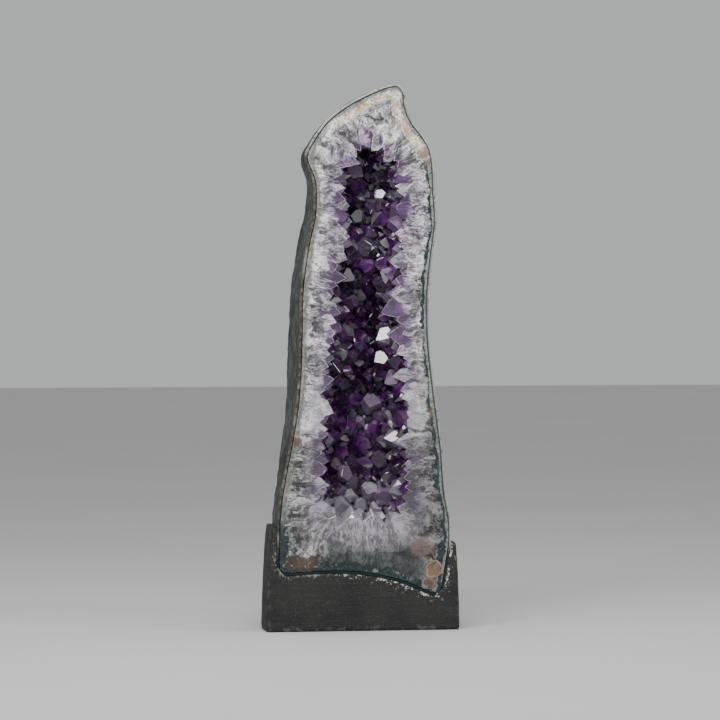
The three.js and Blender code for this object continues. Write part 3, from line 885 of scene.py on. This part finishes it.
# A crystal's colour: pale at its root, purple to almost black towards its tip, with milky clouds.
crystal_colour, given, result = new_group(
    "crystal_colour",
    {
        "Root": ("NodeSocketColor", (0.6, 0.55, 0.66, 1)),
        "Middle": ("NodeSocketColor", (0.2, 0.08, 0.3, 1)),
        "Tip": ("NodeSocketColor", (0.05, 0.01, 0.1, 1)),
        "Milk": ("NodeSocketColor", (0.7, 0.62, 0.78, 1)),
    },
    {"Color": "NodeSocketColor", "Height": "NodeSocketFloat", "Cloud": "NodeSocketFloat"},
)
place = object_place(crystal_colour)
grown, milky, shade = (attribute(crystal_colour, name) for name in ("grown", "milky", "shade"))
cloud = noise(crystal_colour, place, 130.0, 4, 0.6, 0.8)
vein = noise(crystal_colour, place, 480.0, 3, 0.65)
level = times(crystal_colour, minus(crystal_colour, cloud, 0.5), 0.9)
level = plus(crystal_colour, level, grown)
level = plus(crystal_colour, level, times(crystal_colour, shade, 0.5))
colour = mix(crystal_colour, ease(crystal_colour, level, 0.50, 0.80),
             given.outputs["Root"], given.outputs["Middle"])
colour = mix(crystal_colour, ease(crystal_colour, level, 0.74, 1.10), colour, given.outputs["Tip"])
pale = times(crystal_colour, milky, ease(crystal_colour, vein, 0.25, 0.6, 0.55, 1.0))
colour = mix(crystal_colour, pale, colour, given.outputs["Milk"])
wisps = times(crystal_colour, ease(crystal_colour, cloud, 0.60, 0.75), 0.22)
colour = mix(crystal_colour, wisps, colour, given.outputs["Milk"])
crystal_colour.links.new(colour, result.inputs["Color"])
crystal_colour.links.new(vein, result.inputs["Height"])
crystal_colour.links.new(cloud, result.inputs["Cloud"])


def crystal_material(name, root, middle_colour, tip, milk):
    material, tree, shader = new_material(name)
    paint = use_group(tree, crystal_colour, root=root, middle=middle_colour, tip=tip, milk=milk)
    body = use_group(tree, quartz_body, columns=attribute(tree, "columns", "Vector"))
    depth, milky, grown = attribute(tree, "depth"), attribute(tree, "milky"), attribute(tree, "grown")
    column = ease(tree, body.outputs["Column"], 0.35, 0.95)
    away_from_root = ease(tree, grown, 0.25, 0.5)
    amount = times(tree, ease(tree, milky, 1.0, 0.0), away_from_root)
    amount = plus(tree, amount, times(tree, column, minus(tree, 1.0, away_from_root)))
    inwards = node(tree, "ShaderNodeSeparateXYZ", {0: object_place(tree)}).outputs[1]
    sawn = ease(tree, inwards, FRONT + 0.25 * MM, FRONT + 0.10 * MM)
    cut_colour = add_purple(tree, body.outputs["Color"], body, depth, amount)
    outline = times(tree, ease(tree, attribute(tree, "outline"), 0.25, 0.8),
                    ease(tree, grown, 0.35, 0.6, 0.0, 0.8))
    outline = times(tree, outline, ease(tree, paint.outputs["Height"], 0.38, 0.58, 0.2, 1.0))
    cut_colour = mix(tree, outline, cut_colour, (0.86, 0.82, 0.88, 1))
    colour = mix(tree, sawn, paint.outputs["Color"], cut_colour)
    # The painted reflection on the chosen faces.
    colour = mix(tree, times(tree, attribute(tree, "glint"), 0.85), colour, (0.36, 0.375, 0.37, 1))
    bump = node(tree, "ShaderNodeBump",
                {"Strength": 0.2, "Distance": 0.25 * MM, "Height": paint.outputs["Height"]})
    rough = ease(tree, paint.outputs["Cloud"], 0.35, 0.7, 0.03, 0.14)
    rough = plus(tree, rough, times(tree, sawn, 0.25))
    tree.links.new(colour, shader.inputs["Base Color"])
    tree.links.new(bump.outputs[0], shader.inputs["Normal"])
    tree.links.new(rough, shader.inputs["Roughness"])
    shader.inputs["IOR"].default_value = 1.55
    shader.inputs["Specular IOR Level"].default_value = 0.9
    shader.inputs["Transmission Weight"].default_value = 0.20
    shader.inputs["Coat Weight"].default_value = 0.7
    shader.inputs["Coat IOR"].default_value = 1.6
    shader.inputs["Coat Roughness"].default_value = 0.03
    return material


amethyst = crystal_material(
    "amethyst",
    root=(0.22, 0.10, 0.25, 1),
    middle_colour=(0.110, 0.018, 0.150, 1),
    tip=(0.016, 0.003, 0.026, 1),
    milk=(0.38, 0.31, 0.42, 1),
)
milky_quartz = crystal_material(
    "milky_quartz",
    root=(0.50, 0.48, 0.51, 1),
    middle_colour=(0.42, 0.37, 0.44, 1),
    tip=(0.22, 0.13, 0.27, 1),
    milk=(0.58, 0.55, 0.59, 1),
)

for name, crystals in grown_from.items():
    bpy.ops.object.select_all(action="DESELECT")
    for crystal in crystals:
        crystal.select_set(True)
    bpy.context.view_layer.objects.active = crystals[0]
    if len(crystals) > 1:
        bpy.ops.object.join()
    piece = crystals[0]
    piece.name = piece.data.name = name.replace("cluster", "crystals")
    piece.data.materials.clear()
    piece.data.materials.append(amethyst if name.startswith("amethyst") else milky_quartz)
    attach(piece, "root")
    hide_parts(name)


# ==== floor, light and camera =====================================================================
# A pale matt floor, a large soft box above, weaker ones at both sides, narrow strips that glint in
# the crystals, and a long lens at half the geode's height.

LIT_POINT = Vector((0, 0, 0.34))  # where the boxes are turned to
FIELD = 0.72  # the width in view at the sawn face
SENSOR = 36  # millimetres

bpy.ops.mesh.primitive_plane_add(size=14, location=(0, 0, 0))
floor = bpy.context.active_object
floor.name = "floor"
floor_material, tree, shader = new_material("pale_floor")
tone = noise(tree, object_place(tree), 3.0, 4, 0.5)
tree.links.new(mix(tree, tone, (0.56, 0.56, 0.57, 1), (0.62, 0.62, 0.62, 1)), shader.inputs["Base Color"])
shader.inputs["Roughness"].default_value = 0.7
floor.data.materials.append(floor_material)

# The studio is pale near the horizon and dark above, so that the crystals keep their contrast.
world = bpy.data.worlds.new("studio")
world.use_nodes = True
sky = world.node_tree
direction = node(sky, "ShaderNodeTexCoord").outputs["Generated"]
upwards = node(sky, "ShaderNodeSeparateXYZ", {0: direction}).outputs[2]
tone = mix(sky, ease(sky, upwards, 0.08, 0.28), (0.50, 0.505, 0.515, 1), (0.07, 0.07, 0.072, 1))
sky.links.new(tone, sky.nodes["Background"].inputs["Color"])
bpy.context.scene.world = world

for name, place, size, radiance in (
    ("key_box", (-0.22, -0.72, 1.20), (0.80, 0.46), 11.5),
    ("left_box", (-1.45, -1.00, 0.90), (1.2, 1.5), 0.9),
    ("right_box", (1.40, -1.15, 1.00), (1.2, 1.5), 1.0),
    ("spark_left", (-0.85, -0.95, 0.70), (0.08, 0.35), 18.0),
    ("spark_right", (0.85, -0.55, 0.95), (0.10, 0.40), 18.0),
    ("spark_low", (0.25, -1.50, 0.16), (0.5, 0.06), 8.0),
):
    light = bpy.data.lights.new(name, "AREA")
    light.shape = "RECTANGLE"
    light.size, light.size_y = size
    light.energy = radiance * math.pi * size[0] * size[1]
    box = bpy.data.objects.new(name, light)
    bpy.context.scene.collection.objects.link(box)
    box.location = place
    box.rotation_euler = (LIT_POINT - Vector(place)).to_track_quat("-Z", "Y").to_euler()

# A wide, weak light from straight above evens out the floor.
overhead = bpy.data.lights.new("overhead", "SUN")
overhead.energy = 1.5
overhead.angle = math.radians(60)
bpy.context.scene.collection.objects.link(bpy.data.objects.new("overhead", overhead))

AZIMUTH, ELEVATION, DISTANCE = math.radians(-8), math.radians(1.5), 3.2
aim = Vector((-0.004, FRONT, 0.272))
camera = bpy.data.objects.new("camera", bpy.data.cameras.new("camera"))
bpy.context.scene.collection.objects.link(camera)
camera.data.sensor_width = SENSOR
camera.data.lens = SENSOR * DISTANCE / FIELD
camera.data.clip_end = 60
back = Vector((math.sin(AZIMUTH) * math.cos(ELEVATION), -math.cos(AZIMUTH) * math.cos(ELEVATION),
               math.sin(ELEVATION)))
camera.location = aim + back * DISTANCE
camera.rotation_euler = (-back).to_track_quat("-Z", "Y").to_euler()
bpy.context.scene.camera = camera
